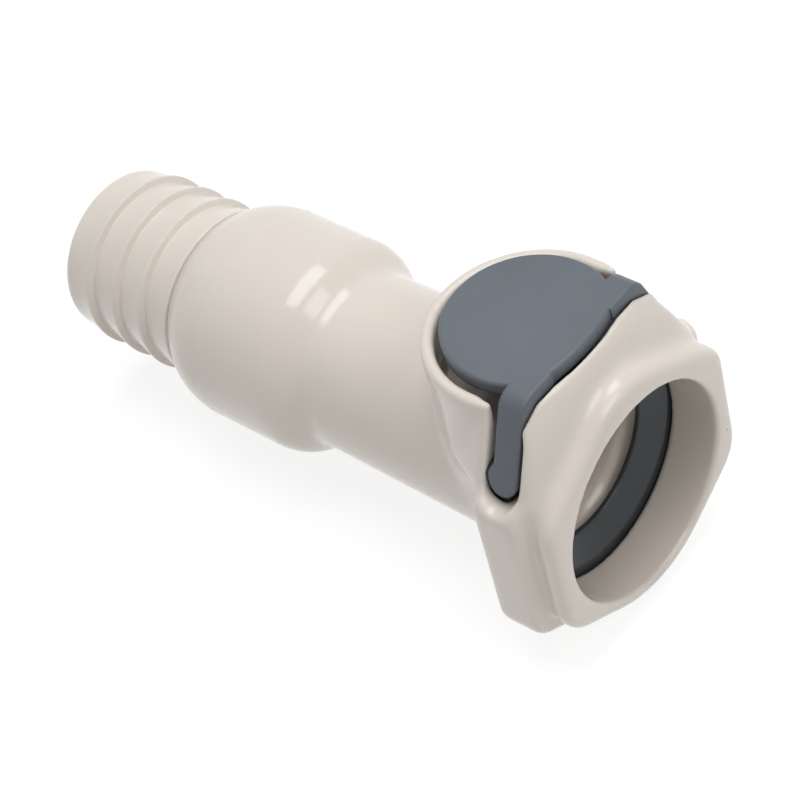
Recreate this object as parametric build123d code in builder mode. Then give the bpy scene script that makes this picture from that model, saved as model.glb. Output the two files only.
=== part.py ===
"""Plastic quick disconnect coupling: a latched body with a shut-off valve and a hose barb.

Millimetres.  +X runs along the flow axis and out of the mouth, +Z points up through the thumb pad,
and the origin lies on the axis in the plane of the mouth.
"""
import os
from math import cos, radians, tan

from build123d import *

# ---------------------------------------------------------------- driving dimensions
# Mouth and wrench flange
mouth_bore_r = 12.63
mouth_edge_round = 0.2
flat_apothem = 15.2          # wrench flats of the front rim
rim_corner_round = 5.0       # outline radius of the rim's four side corners
rim_foot_r = 14.2            # the rim's underside is round
block_corner_round = 2.6     # the same corners on the rear block
crown_corner_round = 8.0     # outline radius of the corner under the thumb pad
rim_depth = 2.0
rim_edge_round = 0.75
groove_depth = 0.45          # the groove lies this far below the rim's flats
groove_length = 1.6
block_step = 1.1             # the rear block stands this far above the rim's flats
block_rear = 9.6             # rear face of the block, back from the mouth
block_edge_round = 1.0
foot_cut = 0.4               # flat taken off the block's lowest line
root_flare = 2.0             # concave root between block and tube

# Tube and barrel
tube_front_r = 10.95
tube_wall = 1.6
neck_r = 10.4
neck_back = 39.8             # where the barrel's shoulder leaves the tube
shoulder_slope = 38.0        # degrees
barrel_r = 12.93
barrel_wall = 1.7
barrel_end = 54.4            # seam with the hose termination
neck_round = 3.0
shoulder_round = 5.0

# Latch housing
pad_centre_back = 11.9
pad_r = 9.2
pad_front_back = 4.55        # the pad's front edge is a flatter arc
pad_front_r = 24.0
pad_top = 20.8
pad_thickness = 1.6
pad_edge_round = 0.35
pad_front_gap = 0.3
pad_rear_gap = 1.3
well_rim_round = 0.3
housing_wall = 0.95
housing_top = 19.7
well_floor = 11.6
cheek_half_top = 10.6
cheek_slope = 22.0           # degrees off vertical
cheek_round = 2.6
cheek_foot_z = 10.0
cheek_foot_inset = 3.0
cheek_tail = 6.5             # length over which the cheeks fade into the tube
cheek_tail_taper = 24.0
saddle_crest_back = 4.9      # hollow between the pad and the rim, as a curve round the axis
saddle_crest_r = 21.4
saddle_foot_back = 2.0
saddle_foot_r = 14.4
saddle_sag = 0.45

# Thumb latch
latch_front = 6.5            # front face of the locking plate, back from the mouth
latch_thickness = 2.45
latch_side_gap = 0.15
latch_travel = 1.0
plate_gap = 0.25
plate_shoulder_z = 9.4
plate_top = 13.4
lock_hole_r = 9.9
lock_lead_r = 12.5
lock_lip = 0.5
arm_centre_back = 6.45
arm_width = 3.1
arm_thickness = 1.6
arm_sink = 0.35              # arms lie this far below the cheeks
arm_overlap = 0.6            # how far the plate's shoulders run into the arms
arm_bend = 2.2
arm_pad_half = 5.0
arm_tip_z = 9.95
arm_tip_r = 1.85             # the tips are wider than the arms
arm_tip_back = 6.75
arm_edge_round = 0.3
slot_end_gap = 0.15

# Flow path behind the latch
insert_step_r = 10.2
insert_step = 1.0
insert_chamfer = 1.25
insert_bore_end = 23.5
seat_land = 2.5
seat_ledge = 1.9             # the seat's opening is this much smaller than the chamber
seat_cone_end = 29.0
chamber_end = 41.4
socket_start = 43.2
guide_thickness = 4.0
socket_gap = 0.05

# Hose termination
spigot_length = 7.2
flange_end = 60.3
flange_foot_r = 10.9
barb_crest_r = 10.6
barb_depth = 0.6
barb_first_crest = 60.9
barb_pitch = 4.26
barb_count = 4
barb_land = 0.35
barb_step = 0.35
barb_bulge = 0.12
tip_end = 78.7
tip_r = 9.75
tip_round = 1.1
hose_bore_r = 8.0

# Valve
poppet_gap = 1.1             # flow gap round the poppet's head
nose_gap = 0.5
nose_back = 21.8
nose_round = 0.8
head_back = 32.0
stem_r = 2.0
stem_end = 50.0
stem_gap = 0.08
seal_back = 27.6
seal_wire_r = 0.85
seal_groove = 0.5
hub_r = 5.8
spoke_width = 2.2
spoke_count = 3
valve_spring_r = 5.0
valve_spring_wire = 0.45
valve_spring_turns = 5
latch_spring_back = 14.8
latch_spring_r = 3.4
latch_spring_wire = 0.35
latch_spring_turns = 4
spring_post_gap = 0.2
spring_post_length = 1.2

# ---------------------------------------------------------------- values worked out from them
latch_back = latch_front + latch_thickness
well_r = pad_r + pad_rear_gap
rim_foot_z = (rim_foot_r - flat_apothem / 2) / cos(radians(30))
housing_r = well_r + housing_wall
cheek_run = tan(radians(cheek_slope))
cheek_foot_half = cheek_half_top + (housing_top - cheek_foot_z) * cheek_run
shoulder_back = neck_back + (barrel_r - neck_r) / tan(radians(shoulder_slope))
arm_shoulder_half = cheek_half_top + (housing_top - pad_top) * cheek_run - arm_sink
arm_tip_half = cheek_half_top + (housing_top - arm_tip_z) * cheek_run - arm_sink
plate_r = arm_tip_half - arm_thickness + arm_overlap
pocket_r = plate_r + plate_gap
slot_width = 2 * (arm_tip_r + latch_side_gap)
slot_end_z = arm_tip_z - latch_travel - slot_end_gap
insert_bore_r = tube_front_r - tube_wall
insert_bore_start = latch_back + insert_step + insert_chamfer
seat_rear = insert_bore_end + seat_land
chamber_r = neck_r - tube_wall
seat_bore_r = chamber_r - seat_ledge
socket_r = barrel_r - barrel_wall
guide_back = socket_start + guide_thickness
barb_root_r = barb_crest_r - barb_depth
poppet_r = chamber_r - poppet_gap
nose_r = seat_bore_r - nose_gap
seal_floor_r = nose_r - seal_groove
latch_spring_height = pad_top - pad_thickness - well_floor - 2 * latch_spring_wire
valve_spring_height = socket_start - head_back - 2 * valve_spring_wire


# ---------------------------------------------------------------- main body
with BuildSketch(Plane.YZ) as rim_outline:
    # Hexagon with a corner under the thumb pad and a round foot.
    with BuildLine():
        foot = CenterArc((0, 0), rim_foot_r, -120, 60)
        Polyline(
            foot @ 1,
            (flat_apothem, -rim_foot_z),
            (flat_apothem, flat_apothem * tan(radians(30))),
            (0, flat_apothem / cos(radians(30))),
            (-flat_apothem, flat_apothem * tan(radians(30))),
            (-flat_apothem, -rim_foot_z),
            foot @ 0,
        )
    make_face()
    corners = rim_outline.vertices().group_by(Axis.Y)
    fillet(corners[1] + corners[2], rim_corner_round)
    fillet(rim_outline.vertices().sort_by(Axis.Y)[-1], crown_corner_round)

with BuildSketch(Plane.YZ) as block_outline:
    RegularPolygon(flat_apothem + block_step, 6, major_radius=False, rotation=30)
    fillet(block_outline.vertices().group_by(Axis.Y)[1:-1], block_corner_round)
    fillet(block_outline.vertices().sort_by(Axis.Y)[-1], crown_corner_round)
    fillet(block_outline.vertices().sort_by(Axis.Y)[0], (flat_apothem + block_step) * 0.8)

with BuildPart() as flange:
    # Rear block, front rim and the groove between them.
    with BuildSketch(Plane.YZ.offset(-block_rear)):
        add(block_outline.sketch_local)
    extrude(amount=block_rear - rim_depth - groove_length)
    split(bisect_by=Plane.XY.offset(foot_cut - flat_apothem - block_step), keep=Keep.TOP)
    fillet(flange.edges().group_by(Axis.X)[0] + flange.edges().group_by(Axis.X)[-1], block_edge_round)
    with BuildSketch(Plane.YZ.offset(-rim_depth)):
        add(rim_outline.sketch_local)
    extrude(amount=rim_depth)
    fillet(flange.edges().group_by(Axis.X)[-1], rim_edge_round)
    with BuildSketch(Plane.YZ.offset(-rim_depth - groove_length - block_edge_round)):
        add(rim_outline.sketch_local)
        offset(amount=-groove_depth)
    extrude(amount=groove_length + block_edge_round + rim_depth / 2)

with BuildPart() as latch_housing:
    # Sloping cheeks, faded into the tube behind.
    with BuildSketch(Plane.YZ.offset(-block_rear)) as cheek_section:
        with BuildLine():
            Polyline(
                (-cheek_half_top, housing_top),
                (cheek_half_top, housing_top),
                (cheek_foot_half, cheek_foot_z),
                (cheek_foot_half - cheek_foot_inset, 0),
                (-cheek_foot_half + cheek_foot_inset, 0),
                (-cheek_foot_half, cheek_foot_z),
                close=True,
            )
        make_face()
        fillet(cheek_section.vertices().group_by(Axis.Y)[-1], cheek_round)
    extrude(amount=block_rear - saddle_foot_back)
    extrude(cheek_section.sketch, amount=-cheek_tail, taper=cheek_tail_taper)
    # Round wall behind the pad.
    with BuildSketch():
        with Locations((-pad_centre_back, 0)):
            Circle(housing_r)
    extrude(amount=housing_top)
    # Hollow between the pad and the rim.
    with BuildSketch(Plane.XZ):
        with BuildLine():
            crest = (-saddle_crest_back, saddle_crest_r)
            foot = (-saddle_foot_back, saddle_foot_r)
            SagittaArc(crest, foot, saddle_sag)
            Polyline(
                foot,
                (pad_r, saddle_foot_r),
                (pad_r, saddle_crest_r + cheek_half_top),
                (-saddle_crest_back, saddle_crest_r + cheek_half_top),
                crest,
            )
        make_face()
    revolve(axis=Axis.X, mode=Mode.SUBTRACT)

with BuildPart() as main_body:
    # Tapering tube and barrel, turned in one.
    with BuildSketch(Plane.XZ) as tube_section:
        with BuildLine():
            Polyline(
                (-rim_depth, 0),
                (-rim_depth, tube_front_r),
                (-block_rear, tube_front_r),
                (-neck_back, neck_r),
                (-shoulder_back, barrel_r),
                (-barrel_end, barrel_r),
                (-barrel_end, 0),
                close=True,
            )
        make_face()
        fillet(tube_section.vertices().sort_by_distance((-neck_back, neck_r))[0], neck_round)
        fillet(tube_section.vertices().sort_by_distance((-shoulder_back, barrel_r))[0], shoulder_round)
    revolve(axis=Axis.X)
    # Concave root between the wrench block and the tube.
    with BuildSketch(Plane.XZ):
        with BuildLine():
            root_start = (-block_rear - root_flare, tube_front_r)
            root_end = (-block_rear, tube_front_r + root_flare)
            RadiusArc(root_start, root_end, -root_flare * 1.2)
            Polyline(
                root_end,
                (-block_rear + block_edge_round, tube_front_r + root_flare),
                (-block_rear + block_edge_round, insert_bore_r),
                (-block_rear - root_flare, insert_bore_r),
                root_start,
            )
        make_face()
    revolve(axis=Axis.X)
    add(flange.part)
    add(latch_housing.part)
    # Well for the thumb pad.
    with BuildSketch(Plane.XY.offset(well_floor)):
        with Locations((-pad_centre_back, 0)):
            Circle(well_r)
        with Locations((-pad_front_back - pad_front_r, 0)):
            Circle(pad_front_r + pad_front_gap, mode=Mode.INTERSECT)
    extrude(amount=housing_top, mode=Mode.SUBTRACT)
    # Pocket for the locking plate, open to the well and through the cheeks.
    with BuildSketch(Plane.YZ.offset(-latch_front + latch_side_gap)):
        with Locations((0, -latch_travel)):
            Circle(pocket_r)
            Rectangle(2 * pocket_r, plate_shoulder_z + latch_travel, align=(Align.CENTER, Align.MIN))
        with BuildLine():
            Polyline(
                (-pocket_r, plate_shoulder_z),
                (-pocket_r, arm_tip_z + arm_tip_r + plate_gap),
                (-lock_hole_r - plate_gap, plate_top + plate_gap),
                (-lock_hole_r - plate_gap, 2 * housing_top),
                (lock_hole_r + plate_gap, 2 * housing_top),
                (lock_hole_r + plate_gap, plate_top + plate_gap),
                (pocket_r, arm_tip_z + arm_tip_r + plate_gap),
                (pocket_r, plate_shoulder_z),
                close=True,
            )
        make_face()
    extrude(amount=-latch_thickness - 2 * latch_side_gap, mode=Mode.SUBTRACT)
    # Round-ended slots that the arms travel in.
    with BuildSketch(Plane.XZ):
        with Locations((-arm_tip_back, slot_end_z + slot_width / 2)):
            Circle(slot_width / 2)
            Rectangle(slot_width, 2 * housing_top, align=(Align.CENTER, Align.MIN))
    extrude(amount=2 * plate_r, both=True, mode=Mode.SUBTRACT)
    # Flow path: mouth, insert bore, valve seat, chamber and socket.
    with BuildSketch(Plane.XZ):
        with BuildLine():
            Polyline(
                (mouth_edge_round, 0),
                (mouth_edge_round, mouth_bore_r + 2 * mouth_edge_round),
                (-mouth_edge_round, mouth_bore_r),
                (-latch_front - latch_thickness / 2, mouth_bore_r),
                (-latch_front - latch_thickness / 2, insert_step_r),
                (-latch_back - insert_step, insert_step_r),
                (-insert_bore_start, insert_bore_r),
                (-insert_bore_end, insert_bore_r),
                (-insert_bore_end, seat_bore_r),
                (-seat_rear, seat_bore_r),
                (-seat_cone_end, chamber_r),
                (-chamber_end, chamber_r),
                (-socket_start, socket_r),
                (-barrel_end - 1.0, socket_r),
                (-barrel_end - 1.0, 0),
                close=True,
            )
        make_face()
    revolve(axis=Axis.X, mode=Mode.SUBTRACT)
    # Soft edges round the top of the well.
    well_rim = main_body.edges().group_by(Axis.Z)[-1]
    fillet(well_rim.filter_by(lambda edge: edge.length > 2 * pad_r), well_rim_round)

# ---------------------------------------------------------------- hose termination
with BuildPart() as hose_barb:
    with BuildSketch(Plane.XZ) as barb_section:
        with BuildLine():
            shoulder = TangentArc((-barrel_end, barrel_r), (-flange_end, flange_foot_r), tangent=(-1, 0))
            Polyline(
                shoulder @ 1,
                (-flange_end, barb_root_r),
                (-barb_first_crest - barb_count * barb_pitch + barb_step, barb_root_r),
                (-tip_end, tip_r),
                (-tip_end, hose_bore_r),
                (-barrel_end + spigot_length, hose_bore_r),
                (-barrel_end + spigot_length, socket_r - socket_gap),
                (-barrel_end, socket_r - socket_gap),
                (-barrel_end, barrel_r),
            )
        make_face()
        fillet(barb_section.vertices().sort_by_distance((-tip_end, tip_r))[0], tip_round)
    revolve(axis=Axis.X)
    # Hose barbs: each is a crowned ramp that rises from the hose end, a short land and a step down.
    for index in range(barb_count):
        crest_x = -barb_first_crest - index * barb_pitch
        with BuildSketch(Plane.XZ):
            with BuildLine():
                ramp_start = (crest_x - barb_pitch + barb_step, barb_root_r)
                ramp_end = (crest_x - barb_land, barb_crest_r)
                SagittaArc(ramp_start, ramp_end, -barb_bulge)
                Polyline(
                    ramp_end,
                    (crest_x, barb_crest_r),
                    (crest_x + barb_step, barb_root_r),
                    (crest_x + barb_step, hose_bore_r),
                    (crest_x - barb_pitch + barb_step, hose_bore_r),
                    ramp_start,
                )
            make_face()
        revolve(axis=Axis.X)

# ---------------------------------------------------------------- thumb latch
with BuildPart() as thumb_pad:
    with BuildSketch(Plane.XY.offset(pad_top - pad_thickness)):
        with Locations((-pad_centre_back, 0)):
            Circle(pad_r)
        with Locations((-pad_front_back - pad_front_r, 0)):
            Circle(pad_front_r, mode=Mode.INTERSECT)
    extrude(amount=pad_thickness)
    fillet(thumb_pad.edges().group_by(Axis.Z)[-1], pad_edge_round)

with BuildPart() as latch_arms:
    # Two arms that run down from the pad and end in round tips.
    with BuildSketch(Plane.YZ.offset(-arm_centre_back)) as arm_section:
        with BuildLine():
            Polyline(
                (arm_pad_half, pad_top),
                (arm_shoulder_half, pad_top),
                (arm_tip_half, arm_tip_z),
                (arm_tip_half - arm_thickness, arm_tip_z),
                (arm_shoulder_half - arm_thickness, pad_top - pad_thickness),
                (arm_pad_half, pad_top - pad_thickness),
                close=True,
            )
        make_face()
        fillet(arm_section.vertices().sort_by_distance((arm_shoulder_half, pad_top))[0], arm_bend)
        mirror(about=Plane.YZ)
    extrude(amount=slot_width, both=True)
    with BuildSketch(Plane.XZ):
        with Locations((-arm_tip_back, arm_tip_z + arm_tip_r)):
            Circle(arm_tip_r)
        with Locations((-arm_centre_back, arm_tip_z + arm_tip_r)):
            Rectangle(arm_width, pad_top, align=(Align.CENTER, Align.MIN))
    extrude(amount=2 * plate_r, both=True, mode=Mode.INTERSECT)
    arm_backs = latch_arms.faces().filter_by(lambda face: face.normal_at().Z > 0.1)
    arm_sides = latch_arms.faces().filter_by(Axis.X)
    fillet([edge for edge in arm_backs.edges() if edge in arm_sides.edges()], arm_edge_round)

with BuildPart() as thumb_latch:
    add(thumb_pad.part)
    add(latch_arms.part)
    # Locking plate round the mouth.
    with BuildSketch(Plane.YZ.offset(-latch_back)):
        Circle(plate_r)
        Rectangle(2 * plate_r, plate_shoulder_z, align=(Align.CENTER, Align.MIN))
        with BuildLine():
            Polyline(
                (-plate_r, plate_shoulder_z),
                (-plate_r, arm_tip_z + arm_tip_r),
                (-lock_hole_r, plate_top),
                (lock_hole_r, plate_top),
                (plate_r, arm_tip_z + arm_tip_r),
                (plate_r, plate_shoulder_z),
                close=True,
            )
        make_face()
    extrude(amount=latch_thickness)
    # Hole that locks in the insert's groove, set high by the latch's travel, with a lead-in.
    with BuildSketch(Plane.XZ):
        with BuildLine():
            Polyline(
                (-latch_back - lock_lip, latch_travel),
                (-latch_back - lock_lip, latch_travel + lock_hole_r),
                (-latch_back + lock_lip, latch_travel + lock_hole_r),
                (-latch_front, latch_travel + lock_lead_r),
                (-latch_front + lock_lip, latch_travel + lock_lead_r),
                (-latch_front + lock_lip, latch_travel),
                close=True,
            )
        make_face()
    revolve(axis=Axis((0, 0, latch_travel), (1, 0, 0)), mode=Mode.SUBTRACT)
    # Post that centres the return spring.
    with BuildSketch(Plane.XY.offset(pad_top - pad_thickness)):
        with Locations((-latch_spring_back, 0)):
            Circle(latch_spring_r - latch_spring_wire - spring_post_gap)
    extrude(amount=-spring_post_length)

with BuildPart() as latch_spring:
    with BuildLine() as latch_coil:
        Helix(latch_spring_height / latch_spring_turns, latch_spring_height, latch_spring_r,
              center=(-latch_spring_back, 0, well_floor + latch_spring_wire))
    with BuildSketch(Plane(latch_coil.line @ 0, z_dir=latch_coil.line % 0)):
        RegularPolygon(latch_spring_wire, 8)
    sweep(path=latch_coil.line, is_frenet=True)

# ---------------------------------------------------------------- valve
with BuildPart() as valve_poppet:
    with BuildSketch(Plane.XZ) as poppet_section:
        with BuildLine():
            Polyline(
                (-nose_back, 0),
                (-nose_back, nose_r),
                (-seal_back + seal_wire_r, nose_r),
                (-seal_back + seal_wire_r, seal_floor_r),
                (-seal_back - seal_wire_r, seal_floor_r),
                (-seal_back - seal_wire_r, poppet_r),
                (-head_back, poppet_r),
                (-head_back, stem_r),
                (-stem_end, stem_r),
                (-stem_end, 0),
                close=True,
            )
        make_face()
        fillet(poppet_section.vertices().sort_by_distance((-nose_back, nose_r))[0], nose_round)
    revolve(axis=Axis.X)

with BuildPart() as poppet_seal:
    with BuildSketch(Plane.XZ):
        with Locations((-seal_back, seal_floor_r + seal_wire_r)):
            Circle(seal_wire_r)
    revolve(axis=Axis.X)

with BuildPart() as valve_guide:
    with BuildSketch(Plane.YZ.offset(-guide_back)):
        Circle(socket_r - socket_gap)
        Circle(hose_bore_r, mode=Mode.SUBTRACT)
        Circle(hub_r)
        with PolarLocations(0, spoke_count, start_angle=90):
            Rectangle((socket_r + hose_bore_r) / 2, spoke_width, align=(Align.MIN, Align.CENTER))
        Circle(stem_r + stem_gap, mode=Mode.SUBTRACT)
    extrude(amount=guide_thickness)

with BuildPart() as valve_spring:
    with BuildLine() as valve_coil:
        Helix(valve_spring_height / valve_spring_turns, valve_spring_height, valve_spring_r,
              center=(-socket_start + valve_spring_wire, 0, 0), direction=(1, 0, 0))
    with BuildSketch(Plane(valve_coil.line @ 0, z_dir=valve_coil.line % 0)):
        RegularPolygon(valve_spring_wire, 8)
    sweep(path=valve_coil.line, is_frenet=True)

# ---------------------------------------------------------------- output
os.makedirs("parts", exist_ok=True)
main_body.part.label = "main_body"
export_step(main_body.part, "parts/main_body.step")
hose_barb.part.label = "hose_barb"
export_step(hose_barb.part, "parts/hose_barb.step")
thumb_latch.part.label = "thumb_latch"
export_step(thumb_latch.part, "parts/thumb_latch.step")
latch_spring.part.label = "latch_spring"
export_step(latch_spring.part, "parts/latch_spring.step")
valve_poppet.part.label = "valve_poppet"
export_step(valve_poppet.part, "parts/valve_poppet.step")
poppet_seal.part.label = "poppet_seal"
export_step(poppet_seal.part, "parts/poppet_seal.step")
valve_guide.part.label = "valve_guide"
export_step(valve_guide.part, "parts/valve_guide.step")
valve_spring.part.label = "valve_spring"
export_step(valve_spring.part, "parts/valve_spring.step")
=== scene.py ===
"""Studio scene of a plastic quick disconnect coupling, round the CAD frame.

It holds the finishes, a softly moulded skin for the main body, copies of the two coils fixed to
the body, the lamps, the floor and the camera.
"""
from math import pi

import bpy
import numpy as np
from mathutils import Matrix, Vector
from mathutils.bvhtree import BVHTree

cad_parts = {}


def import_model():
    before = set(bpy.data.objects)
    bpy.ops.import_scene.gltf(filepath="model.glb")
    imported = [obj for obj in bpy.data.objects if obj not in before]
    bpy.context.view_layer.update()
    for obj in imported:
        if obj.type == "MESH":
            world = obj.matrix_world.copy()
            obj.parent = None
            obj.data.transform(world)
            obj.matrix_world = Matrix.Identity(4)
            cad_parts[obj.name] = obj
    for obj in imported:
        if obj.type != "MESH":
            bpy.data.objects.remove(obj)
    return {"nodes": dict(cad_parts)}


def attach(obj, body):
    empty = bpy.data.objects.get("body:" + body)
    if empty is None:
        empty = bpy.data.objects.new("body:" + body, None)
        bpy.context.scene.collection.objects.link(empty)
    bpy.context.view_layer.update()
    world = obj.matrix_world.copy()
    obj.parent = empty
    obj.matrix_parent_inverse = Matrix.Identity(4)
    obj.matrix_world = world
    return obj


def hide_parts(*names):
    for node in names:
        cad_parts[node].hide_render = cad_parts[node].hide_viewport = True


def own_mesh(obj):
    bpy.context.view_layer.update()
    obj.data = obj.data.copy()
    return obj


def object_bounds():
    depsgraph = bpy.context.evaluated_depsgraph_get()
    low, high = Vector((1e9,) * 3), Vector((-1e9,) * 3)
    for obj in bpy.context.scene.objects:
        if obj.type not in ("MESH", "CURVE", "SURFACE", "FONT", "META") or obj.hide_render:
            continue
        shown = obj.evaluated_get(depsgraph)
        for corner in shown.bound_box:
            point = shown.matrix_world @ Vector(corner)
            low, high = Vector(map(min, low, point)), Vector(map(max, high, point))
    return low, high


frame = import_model()
cad_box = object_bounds()
MM = 0.001


# ---------------------------------------------------------------- node helpers
class Material:
    """A procedural material with a Principled shader and short calls for its nodes."""

    def __init__(self, name, **sockets):
        self.material = bpy.data.materials.new(name)
        self.material.use_nodes = True
        self.tree = self.material.node_tree
        self.shader = self.tree.nodes["Principled BSDF"]
        for socket, value in sockets.items():
            self.shader.inputs[socket.replace("_", " ")].default_value = value
        self.place = self.tree.nodes.new("ShaderNodeTexCoord").outputs["Object"]

    def link(self, output, target):
        self.tree.links.new(output, target)

    def noise(self, scale, detail=2.0, roughness=0.5, stretch=None):
        node = self.tree.nodes.new("ShaderNodeTexNoise")
        node.inputs["Scale"].default_value = scale
        node.inputs["Detail"].default_value = detail
        node.inputs["Roughness"].default_value = roughness
        place = self.place
        if stretch:
            mapping = self.tree.nodes.new("ShaderNodeMapping")
            mapping.inputs["Scale"].default_value = stretch
            self.link(place, mapping.inputs["Vector"])
            place = mapping.outputs["Vector"]
        self.link(place, node.inputs["Vector"])
        return node.outputs["Fac"]

    def ramp(self, value, stops):
        node = self.tree.nodes.new("ShaderNodeValToRGB")
        ramp = node.color_ramp
        ramp.elements[0].position, ramp.elements[0].color = stops[0]
        ramp.elements[1].position, ramp.elements[1].color = stops[-1]
        for position, colour in stops[1:-1]:
            ramp.elements.new(position).color = colour
        self.link(value, node.inputs["Fac"])
        return node.outputs["Color"]

    def remap(self, value, low, high, start=0.0, end=1.0):
        """Maps start..end to low..high."""
        node = self.tree.nodes.new("ShaderNodeMapRange")
        node.inputs["From Min"].default_value = start
        node.inputs["From Max"].default_value = end
        node.inputs["To Min"].default_value = low
        node.inputs["To Max"].default_value = high
        self.link(value, node.inputs["Value"])
        return node.outputs["Result"]

    def bump(self, height, distance, strength=1.0, below=None):
        node = self.tree.nodes.new("ShaderNodeBump")
        node.inputs["Distance"].default_value = distance
        node.inputs["Strength"].default_value = strength
        self.link(height, node.inputs["Height"])
        if below:
            self.link(below, node.inputs["Normal"])
        return node.outputs["Normal"]

    def specks(self, scale, radius, share):
        """1 inside the round centres of a few cells, 0 elsewhere."""
        cells = self.tree.nodes.new("ShaderNodeTexVoronoi")
        cells.inputs["Scale"].default_value = scale
        self.link(self.place, cells.inputs["Vector"])
        near = self.math("LESS_THAN", cells.outputs["Distance"], radius)
        chosen = self.tree.nodes.new("ShaderNodeSeparateColor")
        self.link(cells.outputs["Color"], chosen.inputs["Color"])
        few = self.math("LESS_THAN", chosen.outputs["Red"], share)
        return self.math("MULTIPLY", near, few)

    def math(self, operation, first, second=0.0):
        """A Math node; its second value is a number or another node's output."""
        node = self.tree.nodes.new("ShaderNodeMath")
        node.operation = operation
        self.link(first, node.inputs[0])
        if isinstance(second, float):
            node.inputs[1].default_value = second
        else:
            self.link(second, node.inputs[1])
        return node.outputs["Value"]

    def near_axis(self, radius):
        """1 within a radius of the bore's axis, 0 outside, with a short soft edge."""
        flat = self.tree.nodes.new("ShaderNodeVectorMath")
        flat.operation = "MULTIPLY"
        flat.inputs[1].default_value = (0.0, 1.0, 1.0)
        self.link(self.place, flat.inputs[0])
        length = self.tree.nodes.new("ShaderNodeVectorMath")
        length.operation = "LENGTH"
        self.link(flat.outputs["Vector"], length.inputs[0])
        edge = radius * AXIS_MASK_EDGE
        return self.remap(length.outputs["Value"], 1.0, 0.0, start=radius, end=edge)

    def mix(self, factor, colour, other):
        """colour where factor is 0, other where it is 1."""
        node = self.tree.nodes.new("ShaderNodeMix")
        node.data_type = "RGBA"
        rgba = [socket for socket in node.inputs if socket.type == "RGBA"]
        rgba[1].default_value = other
        self.link(factor, node.inputs[0])
        self.link(colour, rgba[0])
        return [socket for socket in node.outputs if socket.type == "RGBA"][0]

    def soft_corners(self, radius):
        """Rounds the corners by a radius, less near the bonded seam and not at all on it."""
        node = self.tree.nodes.new("ShaderNodeBevel")
        node.samples = BEVEL_SAMPLES
        apart = self.tree.nodes.new("ShaderNodeSeparateXYZ")
        self.link(self.place, apart.inputs["Vector"])
        off_seam = self.math("ABSOLUTE", self.math("ADD", apart.outputs["X"], SEAM_OFFSET))
        self.link(self.remap(off_seam, 0.0, radius, end=SEAM_REACH), node.inputs["Radius"])
        return node.outputs["Normal"]


def grey(level):
    return (level, level, level, 1.0)


def tint(colour, factor):
    return tuple(channel * factor for channel in colour) + (1.0,)


# ---------------------------------------------------------------- finishes
ALMOND = (0.735, 0.674, 0.608)
SLATE = (0.118, 0.137, 0.158)
STEEL = (0.60, 0.60, 0.58)
RUBBER = (0.018, 0.018, 0.019)
PLATE_RADIUS = 13.7 * MM     # reach of the latch's locking plate round the bore axis
SEAM_OFFSET = 54.4 * MM      # the barb is bonded to the body this far behind the mouth
SEAM_REACH = 1.0 * MM        # corners round off less than this far from the seam
AXIS_MASK_EDGE = 1.02        # a mask round the axis ends softly over this ratio of radii
BEVEL_SAMPLES = 6
BODY_CORNER = 0.6 * MM
BARB_CORNER = 0.1 * MM
LATCH_CORNER = 0.3 * MM
FLESH_DEPTH = (1.0, 0.65, 0.45)     # how far each colour of light runs in the almond resin


def moulded_almond(name, corner=BODY_CORNER):
    """Glossy resin with faint flow clouding, a skin never quite flat and a few dark specks."""
    skin = Material(name, IOR=1.5, Subsurface_Weight=0.08, Subsurface_Scale=0.0015)
    skin.shader.inputs["Subsurface Radius"].default_value = FLESH_DEPTH
    cloud = skin.noise(90.0, detail=3.0, stretch=(0.5, 1.0, 1.0))
    flow = [(0.30, tint(ALMOND, 0.97)), (0.55, tint(ALMOND, 1.0)), (0.75, tint(ALMOND, 1.02))]
    colour = skin.ramp(cloud, flow)
    specks = skin.specks(420.0, radius=0.05, share=0.04)
    skin.link(skin.mix(specks, colour, tint(ALMOND, 0.45)), skin.shader.inputs["Base Color"])
    gloss = skin.remap(skin.noise(600.0, detail=4.0), 0.08, 0.19)
    skin.link(gloss, skin.shader.inputs["Roughness"])
    rounded = skin.soft_corners(corner)
    waves = skin.bump(skin.noise(230.0, detail=1.0), 0.04 * MM, 0.25, below=rounded)
    grain = skin.bump(skin.noise(5200.0, detail=2.0), 0.003 * MM, 0.4, below=waves)
    skin.link(grain, skin.shader.inputs["Normal"])
    return skin.material


def moulded_barb(name):
    """The same resin with the crisp crests of a hose barb."""
    return moulded_almond(name, corner=BARB_CORNER)


def moulded_slate(name):
    """Satin grey resin, finely sparked, with a polished locking plate round the bore, darkened as
    painted shade.
    """
    skin = Material(name, IOR=1.48)
    skin.shader.inputs["Specular IOR Level"].default_value = 0.4
    cloud = skin.noise(70.0, detail=4.0)
    colour = skin.ramp(cloud, [(0.3, tint(SLATE, 0.92)), (0.7, tint(SLATE, 1.06))])
    # painted shade: the locking plate round the bore, inside the mouth, is darkened to stand for
    # the shade of the recess; the same mask also lowers its roughness
    plate_shade_and_polish = skin.near_axis(PLATE_RADIUS)
    skin.link(skin.mix(plate_shade_and_polish, colour, tint(SLATE, 0.36)), skin.shader.inputs["Base Color"])
    satin = skin.remap(skin.noise(900.0, detail=3.0), 0.32, 0.46)
    polish = skin.math("MULTIPLY", plate_shade_and_polish, 0.24)
    skin.link(skin.math("SUBTRACT", satin, polish), skin.shader.inputs["Roughness"])
    rounded = skin.soft_corners(LATCH_CORNER)
    spark = skin.bump(skin.noise(7000.0, detail=2.0), 0.01 * MM, 0.45, below=rounded)
    skin.link(spark, skin.shader.inputs["Normal"])
    return skin.material


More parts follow.
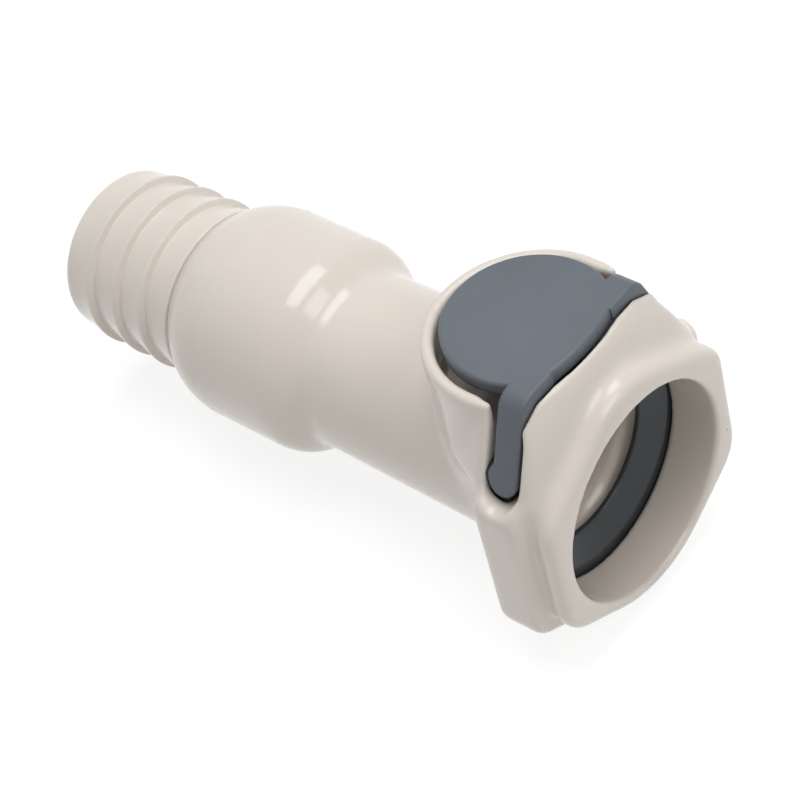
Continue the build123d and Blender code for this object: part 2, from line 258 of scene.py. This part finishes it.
def drawn_steel(name):
    """Stainless wire with drawing marks."""
    skin = Material(name, Metallic=1.0)
    streak = skin.noise(2500.0, detail=2.0, stretch=(1.0, 1.0, 4.0))
    colour = skin.ramp(streak, [(0.3, tint(STEEL, 0.85)), (0.7, tint(STEEL, 1.05))])
    skin.link(colour, skin.shader.inputs["Base Color"])
    skin.link(skin.remap(streak, 0.2, 0.38), skin.shader.inputs["Roughness"])
    return skin.material


def seal_rubber(name):
    """Black rubber with a faint bloom."""
    skin = Material(name)
    bloom = skin.noise(1200.0, detail=3.0)
    colour = skin.ramp(bloom, [(0.4, tint(RUBBER, 0.8)), (0.8, tint(RUBBER, 1.6))])
    skin.link(colour, skin.shader.inputs["Base Color"])
    skin.link(skin.remap(bloom, 0.4, 0.62), skin.shader.inputs["Roughness"])
    return skin.material


FINISHES = {
    "main_body": moulded_almond,
    "hose_barb": moulded_barb,
    "thumb_latch": moulded_slate,
    "latch_spring": drawn_steel,
    "valve_poppet": moulded_almond,
    "poppet_seal": seal_rubber,
    "valve_guide": moulded_almond,
    "valve_spring": drawn_steel,
}


def dress(node):
    piece = frame["nodes"][node]
    material = FINISHES[node](node + "_finish")
    for slot in piece.material_slots:
        slot.material = material
    if not piece.material_slots:
        piece.data.materials.append(material)


for node in FINISHES:
    dress(node)


# ---------------------------------------------------------------- soft moulded body
VOXEL = 0.25 * MM
SMOOTH_ROUNDS = 60
KEPT_SHARE = 0.46            # of the faces, once the skin is smooth
WELL_CENTRE_X = -11.9 * MM
WELL_RADIUS = 10.5 * MM
HOUSING_RADIUS = 11.45 * MM
WELL_WALL_GAIN = 0.55 * MM   # added inside the top of the wall round the thumb pad
WALL_MARGIN = 0.3 * MM
SEAM_LAP = 0.3 * MM          # the moulding's end runs this far into the barb, to show no groove
LAPPED_BEHIND = -54.1 * MM
PINNED_BEHIND = -53.8 * MM   # the skin isn't smoothed behind this
LATCH_GAP = 0.08 * MM        # least gap between the moulding and the latch
LATCH_REACH = 0.5 * MM       # how deep a place inside the latch is still brought out of it
LATCH_TRAVEL = 1.0 * MM
LATCH_STEPS = 5
LATCH_PASSES = 2

# Radii inside which the skin belongs to a bore or pocket and keeps the CAD's form.
MOUTH_RADIUS = 12.95 * MM
POCKET_RADIUS = 13.9 * MM
BORE_RADIUS = 10.1 * MM
WELL_KEPT_RADIUS = 10.9 * MM
POCKET_FRONT = -6.2 * MM
POCKET_BACK = -9.5 * MM
WELL_LOW = 11 * MM

# How far a point goes towards its neighbours' mean in each round, and where, in mm: each pair is
# where a zone starts and where it is full.
LEAST_SHARE = 0.04
FRONT_SHARE, FRONT_X = 0.10, (-26, -20)
JOIN_SHARE = 0.6
CROWN_X, CROWN_LOW, CROWN_HIGH = (-5.2, -4.4), (7, 10), (18, 16.5)
ROOT_BACK, ROOT_FRONT, ROOT_LOW, ROOT_HIGH = (-26, -24), (-9.4, -10.2), (-6, 0), (17, 15)
WALL_FRONT, WALL_LOW = (-9.4, -10.6), (12.5, 15)


def ramp_between(values, low, high):
    """0 below low, 1 above high, smooth between them; it falls where low is above high."""
    share = np.clip((values - low * MM) / ((high - low) * MM), 0.0, 1.0)
    return share * share * (3.0 - 2.0 * share)


def smoothed(points, edges, share):
    """Points drawn towards the mean of their neighbours, each by its own share."""
    count = len(points)
    neighbours = np.bincount(edges.ravel(), minlength=count).astype(float)
    for _ in range(SMOOTH_ROUNDS):
        mean = np.empty_like(points)
        for axis in range(3):
            total = np.bincount(edges[:, 0], points[edges[:, 1], axis], count)
            total += np.bincount(edges[:, 1], points[edges[:, 0], axis], count)
            mean[:, axis] = total / neighbours
        points = points + share[:, None] * (mean - points)
    return points


def smoothing_share(points):
    """How soft each place is: most at the crown behind the rim and round the housing's root."""
    x, y, z = points.T
    from_axis = np.hypot(y, z)
    from_pad = np.hypot(x - WELL_CENTRE_X, y)
    mouth = from_axis < MOUTH_RADIUS
    pocket = (from_axis < POCKET_RADIUS) & (x < POCKET_FRONT)
    bore = from_axis < BORE_RADIUS
    outside = ~np.where(x > POCKET_BACK, mouth | pocket, bore)
    share = np.full(len(points), LEAST_SHARE)
    share[outside] += FRONT_SHARE * ramp_between(x, *FRONT_X)[outside]
    crown = ramp_between(x, *CROWN_X) * ramp_between(z, *CROWN_LOW) * ramp_between(z, *CROWN_HIGH)
    root = ramp_between(x, *ROOT_BACK) * ramp_between(x, *ROOT_FRONT)
    root = root * ramp_between(z, *ROOT_LOW) * ramp_between(z, *ROOT_HIGH)
    well = (from_pad < WELL_KEPT_RADIUS) & (z > WELL_LOW)
    root[well] = 0.0
    share[outside] += (JOIN_SHARE * np.maximum(crown, root))[outside]
    share[x < PINNED_BEHIND] = 0.0
    return share


def thicker_well_wall(points):
    """Draws the inner side of the well's wall towards the pad, behind the arms."""
    x, y, z = points.T
    offset = np.stack([x - WELL_CENTRE_X, y], axis=1)
    distance = np.hypot(*offset.T)
    inner = np.clip((HOUSING_RADIUS - distance) / (HOUSING_RADIUS - WELL_RADIUS), 0.0, 1.0)
    reach = inner * ramp_between(x, *WALL_FRONT) * ramp_between(z, *WALL_LOW)
    reach *= distance > WELL_RADIUS - WALL_MARGIN
    points[:, :2] -= offset / distance[:, None] * (WELL_WALL_GAIN * reach)[:, None]


def clear_of_latch(points, edges):
    """Moves points and edges' middles out of the latch's way over the whole of its travel."""
    latch = frame["nodes"]["thumb_latch"]
    corners = [latch.matrix_world @ vertex.co for vertex in latch.data.vertices]
    tree = BVHTree.FromPolygons(corners, [tuple(face.vertices) for face in latch.data.polygons])
    reach = LATCH_TRAVEL + LATCH_REACH
    near = np.array([tree.find_nearest(point, reach)[0] is not None for point in points])
    groups = [[i] for i in np.flatnonzero(near)]
    groups += [list(edge) for edge in edges[near[edges].all(axis=1)]]
    for drop in list(np.linspace(0.0, LATCH_TRAVEL, LATCH_STEPS)) * LATCH_PASSES:
        lift = Vector((0.0, 0.0, drop))
        for group in groups:
            point = Vector(points[group].mean(axis=0)) + lift
            found, normal, _, distance = tree.find_nearest(point, LATCH_REACH)
            if found is None:
                continue
            inside = (point - found).dot(normal) < 0.0
            if inside or distance < LATCH_GAP:
                touching = inside or distance < 0.1 * LATCH_GAP
                away = normal if touching else (point - found) / distance
                points[group] += np.array(found + away * LATCH_GAP - point)


def with_modifier(mesh, kind, **settings):
    """A new mesh: the given one with one modifier applied."""
    work = bpy.data.objects.new("moulding_work", mesh)
    bpy.context.scene.collection.objects.link(work)
    modifier = work.modifiers.new(kind, kind)
    for name, value in settings.items():
        setattr(modifier, name, value)
    evaluated = work.evaluated_get(bpy.context.evaluated_depsgraph_get())
    made = bpy.data.meshes.new_from_object(evaluated)
    bpy.data.objects.remove(work)
    return made


def points_and_edges(mesh):
    """The mesh's vertices, one row each, and the two ends of each edge."""
    points = np.empty(len(mesh.vertices) * 3)
    mesh.vertices.foreach_get("co", points)
    edges = np.empty(len(mesh.edges) * 2, dtype=np.int64)
    mesh.edges.foreach_get("vertices", edges)
    return points.reshape(-1, 3), edges.reshape(-1, 2)


def moulded_body():
    """The main body with its corners and joins run into each other as they are on the moulding."""
    source = frame["nodes"]["main_body"]
    mesh = with_modifier(source.data.copy(), "REMESH", mode="VOXEL", voxel_size=VOXEL)
    points, edges = points_and_edges(mesh)
    thicker_well_wall(points)
    points = smoothed(points, edges, smoothing_share(points))
    points[points[:, 0] < LAPPED_BEHIND, 0] -= SEAM_LAP
    mesh.vertices.foreach_set("co", points.ravel())
    mesh.update()
    mesh = with_modifier(mesh, "DECIMATE", ratio=KEPT_SHARE)
    points, edges = points_and_edges(mesh)
    clear_of_latch(points, edges)
    mesh.vertices.foreach_set("co", points.ravel())
    mesh.polygons.foreach_set("use_smooth", np.ones(len(mesh.polygons), dtype=bool))
    mesh.update()
    mesh.materials.clear()
    mesh.materials.append(moulded_almond("body_moulding_finish"))
    moulding = bpy.data.objects.new("body_moulding", mesh)
    bpy.context.scene.collection.objects.link(moulding)
    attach(moulding, "body")
    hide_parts("main_body")


def coil(name, node):
    """A copy of a CAD spring, fixed to the body in the CAD spring's place."""
    source = frame["nodes"][node]
    piece = bpy.data.objects.new(name, source.data.copy())
    piece.matrix_world = source.matrix_world
    bpy.context.scene.collection.objects.link(piece)
    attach(piece, "body")
    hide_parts(node)
    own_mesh(piece)


moulded_body()
coil("latch_coil", "latch_spring")
coil("valve_coil", "valve_spring")


# ---------------------------------------------------------------- studio
FLOOR_WHITE = 0.9
SHADOW_SHARE = 0.27          # how much of the lit floor the camera sees, the rest glows white
FLOOR_FADE = (0.12, 0.6)     # the floor fades into the white backdrop between these distances
FLOOR_SIZE = 6.0
FLOOR_ROUGHNESS = 0.9
BACKDROP_GLOW = 1.15
FILL = (0.06, 0.46)          # weakest and strongest light from the surroundings
FILL_LEAN = Vector((-1.0, 0.15, 0.1)).normalized()
SENSOR_WIDTH = 36.0
LENS = 116.8
CAMERA_PLACE = Vector((125.23, -126.88, 207.06)) * MM
CAMERA_RIGHT = Vector((0.756194, 0.622494, -0.201671))
CAMERA_FORWARD = Vector((-0.546096, 0.430581, -0.718596))


def seen_directly(tree):
    """1 for rays from the camera, mirrors and glass, 0 for the light that falls on the object."""
    path = tree.nodes.new("ShaderNodeLightPath")
    total = path.outputs["Is Camera Ray"]
    for other in ("Is Glossy Ray", "Is Transmission Ray"):
        either = tree.nodes.new("ShaderNodeMath")
        either.operation = "MAXIMUM"
        tree.links.new(total, either.inputs[0])
        tree.links.new(path.outputs[other], either.inputs[1])
        total = either.outputs["Value"]
    return total


def backdrop():
    """White floor, seen as pure white apart from the object's soft shadow."""
    low = cad_box[0][2]
    bpy.ops.mesh.primitive_plane_add(size=FLOOR_SIZE, location=(0, 0, low))
    floor = bpy.context.object
    floor.name = "studio_floor"
    material = bpy.data.materials.new("studio_white")
    material.use_nodes = True
    tree = material.node_tree
    shader = tree.nodes["Principled BSDF"]
    shader.inputs["Base Color"].default_value = grey(FLOOR_WHITE)
    shader.inputs["Roughness"].default_value = FLOOR_ROUGHNESS
    shader.inputs["Specular IOR Level"].default_value = 0.0
    place = tree.nodes.new("ShaderNodeTexCoord")
    distance = tree.nodes.new("ShaderNodeVectorMath")
    distance.operation = "LENGTH"
    tree.links.new(place.outputs["Object"], distance.inputs[0])
    fade = tree.nodes.new("ShaderNodeMapRange")
    fade.interpolation_type = "SMOOTHSTEP"
    fade.inputs["From Min"].default_value, fade.inputs["From Max"].default_value = FLOOR_FADE
    fade.inputs["To Min"].default_value = 1.0 - SHADOW_SHARE
    fade.inputs["To Max"].default_value = 1.0
    tree.links.new(distance.outputs["Value"], fade.inputs["Value"])
    glow_share = tree.nodes.new("ShaderNodeMath")
    glow_share.operation = "MULTIPLY"
    tree.links.new(fade.outputs["Result"], glow_share.inputs[0])
    tree.links.new(seen_directly(tree), glow_share.inputs[1])
    glow = tree.nodes.new("ShaderNodeEmission")
    glow.inputs["Strength"].default_value = BACKDROP_GLOW
    mixed = tree.nodes.new("ShaderNodeMixShader")
    tree.links.new(glow_share.outputs["Value"], mixed.inputs["Fac"])
    tree.links.new(shader.outputs["BSDF"], mixed.inputs[1])
    tree.links.new(glow.outputs["Emission"], mixed.inputs[2])
    tree.links.new(mixed.outputs["Shader"], tree.nodes["Material Output"].inputs["Surface"])
    floor.data.materials.append(material)


def area_lamp(name, place, target, size, size_y, radiance):
    """Rectangular softbox of the given brightness."""
    lamp = bpy.data.lights.new(name, "AREA")
    lamp.shape = "RECTANGLE"
    lamp.size = size
    lamp.size_y = size_y
    lamp.energy = radiance * pi * size * size_y
    lamp_object = bpy.data.objects.new(name, lamp)
    bpy.context.scene.collection.objects.link(lamp_object)
    lamp_object.location = place
    aim = Vector(target) - Vector(place)
    lamp_object.rotation_euler = aim.to_track_quat("-Z", "Y").to_euler()


def camera():
    """Long lens from above the mouth, turned a little on its own axis."""
    lens = bpy.data.cameras.new("camera")
    lens.sensor_width = SENSOR_WIDTH
    lens.lens = LENS
    view = bpy.data.objects.new("camera", lens)
    bpy.context.scene.collection.objects.link(view)
    up = CAMERA_RIGHT.cross(CAMERA_FORWARD)
    turn = Matrix((CAMERA_RIGHT, up, -CAMERA_FORWARD)).transposed()
    view.matrix_world = Matrix.Translation(CAMERA_PLACE) @ turn.to_4x4()
    bpy.context.scene.camera = view


def world():
    """Pale surroundings, brighter towards the hose end, and white where they are seen directly."""
    surroundings = bpy.data.worlds.new("studio")
    bpy.context.scene.world = surroundings
    surroundings.use_nodes = True
    tree = surroundings.node_tree
    background = tree.nodes["Background"]
    background.inputs["Color"].default_value = grey(1.0)
    direction = tree.nodes.new("ShaderNodeTexCoord")
    lean = tree.nodes.new("ShaderNodeVectorMath")
    lean.operation = "DOT_PRODUCT"
    lean.inputs[1].default_value = FILL_LEAN
    tree.links.new(direction.outputs["Generated"], lean.inputs[0])
    fill = tree.nodes.new("ShaderNodeMapRange")
    fill.inputs["From Min"].default_value = -1.0
    fill.inputs["To Min"].default_value, fill.inputs["To Max"].default_value = FILL
    tree.links.new(lean.outputs["Value"], fill.inputs["Value"])
    strength = tree.nodes.new("ShaderNodeMix")
    tree.links.new(seen_directly(tree), strength.inputs["Factor"])
    tree.links.new(fill.outputs["Result"], strength.inputs["A"])
    strength.inputs["B"].default_value = 1.0
    tree.links.new(strength.outputs["Result"], background.inputs["Strength"])


backdrop()
world()
camera()
area_lamp("overhead_softbox", (-0.05, 0.12, 0.8), (-0.04, 0, 0), 0.50, 0.70, 4.1)
area_lamp("front_softbox", (0.58, 0.05, 0.62), (-0.02, 0, 0), 0.45, 0.45, 3.2)
bpy.context.scene.view_settings.view_transform = "Standard"
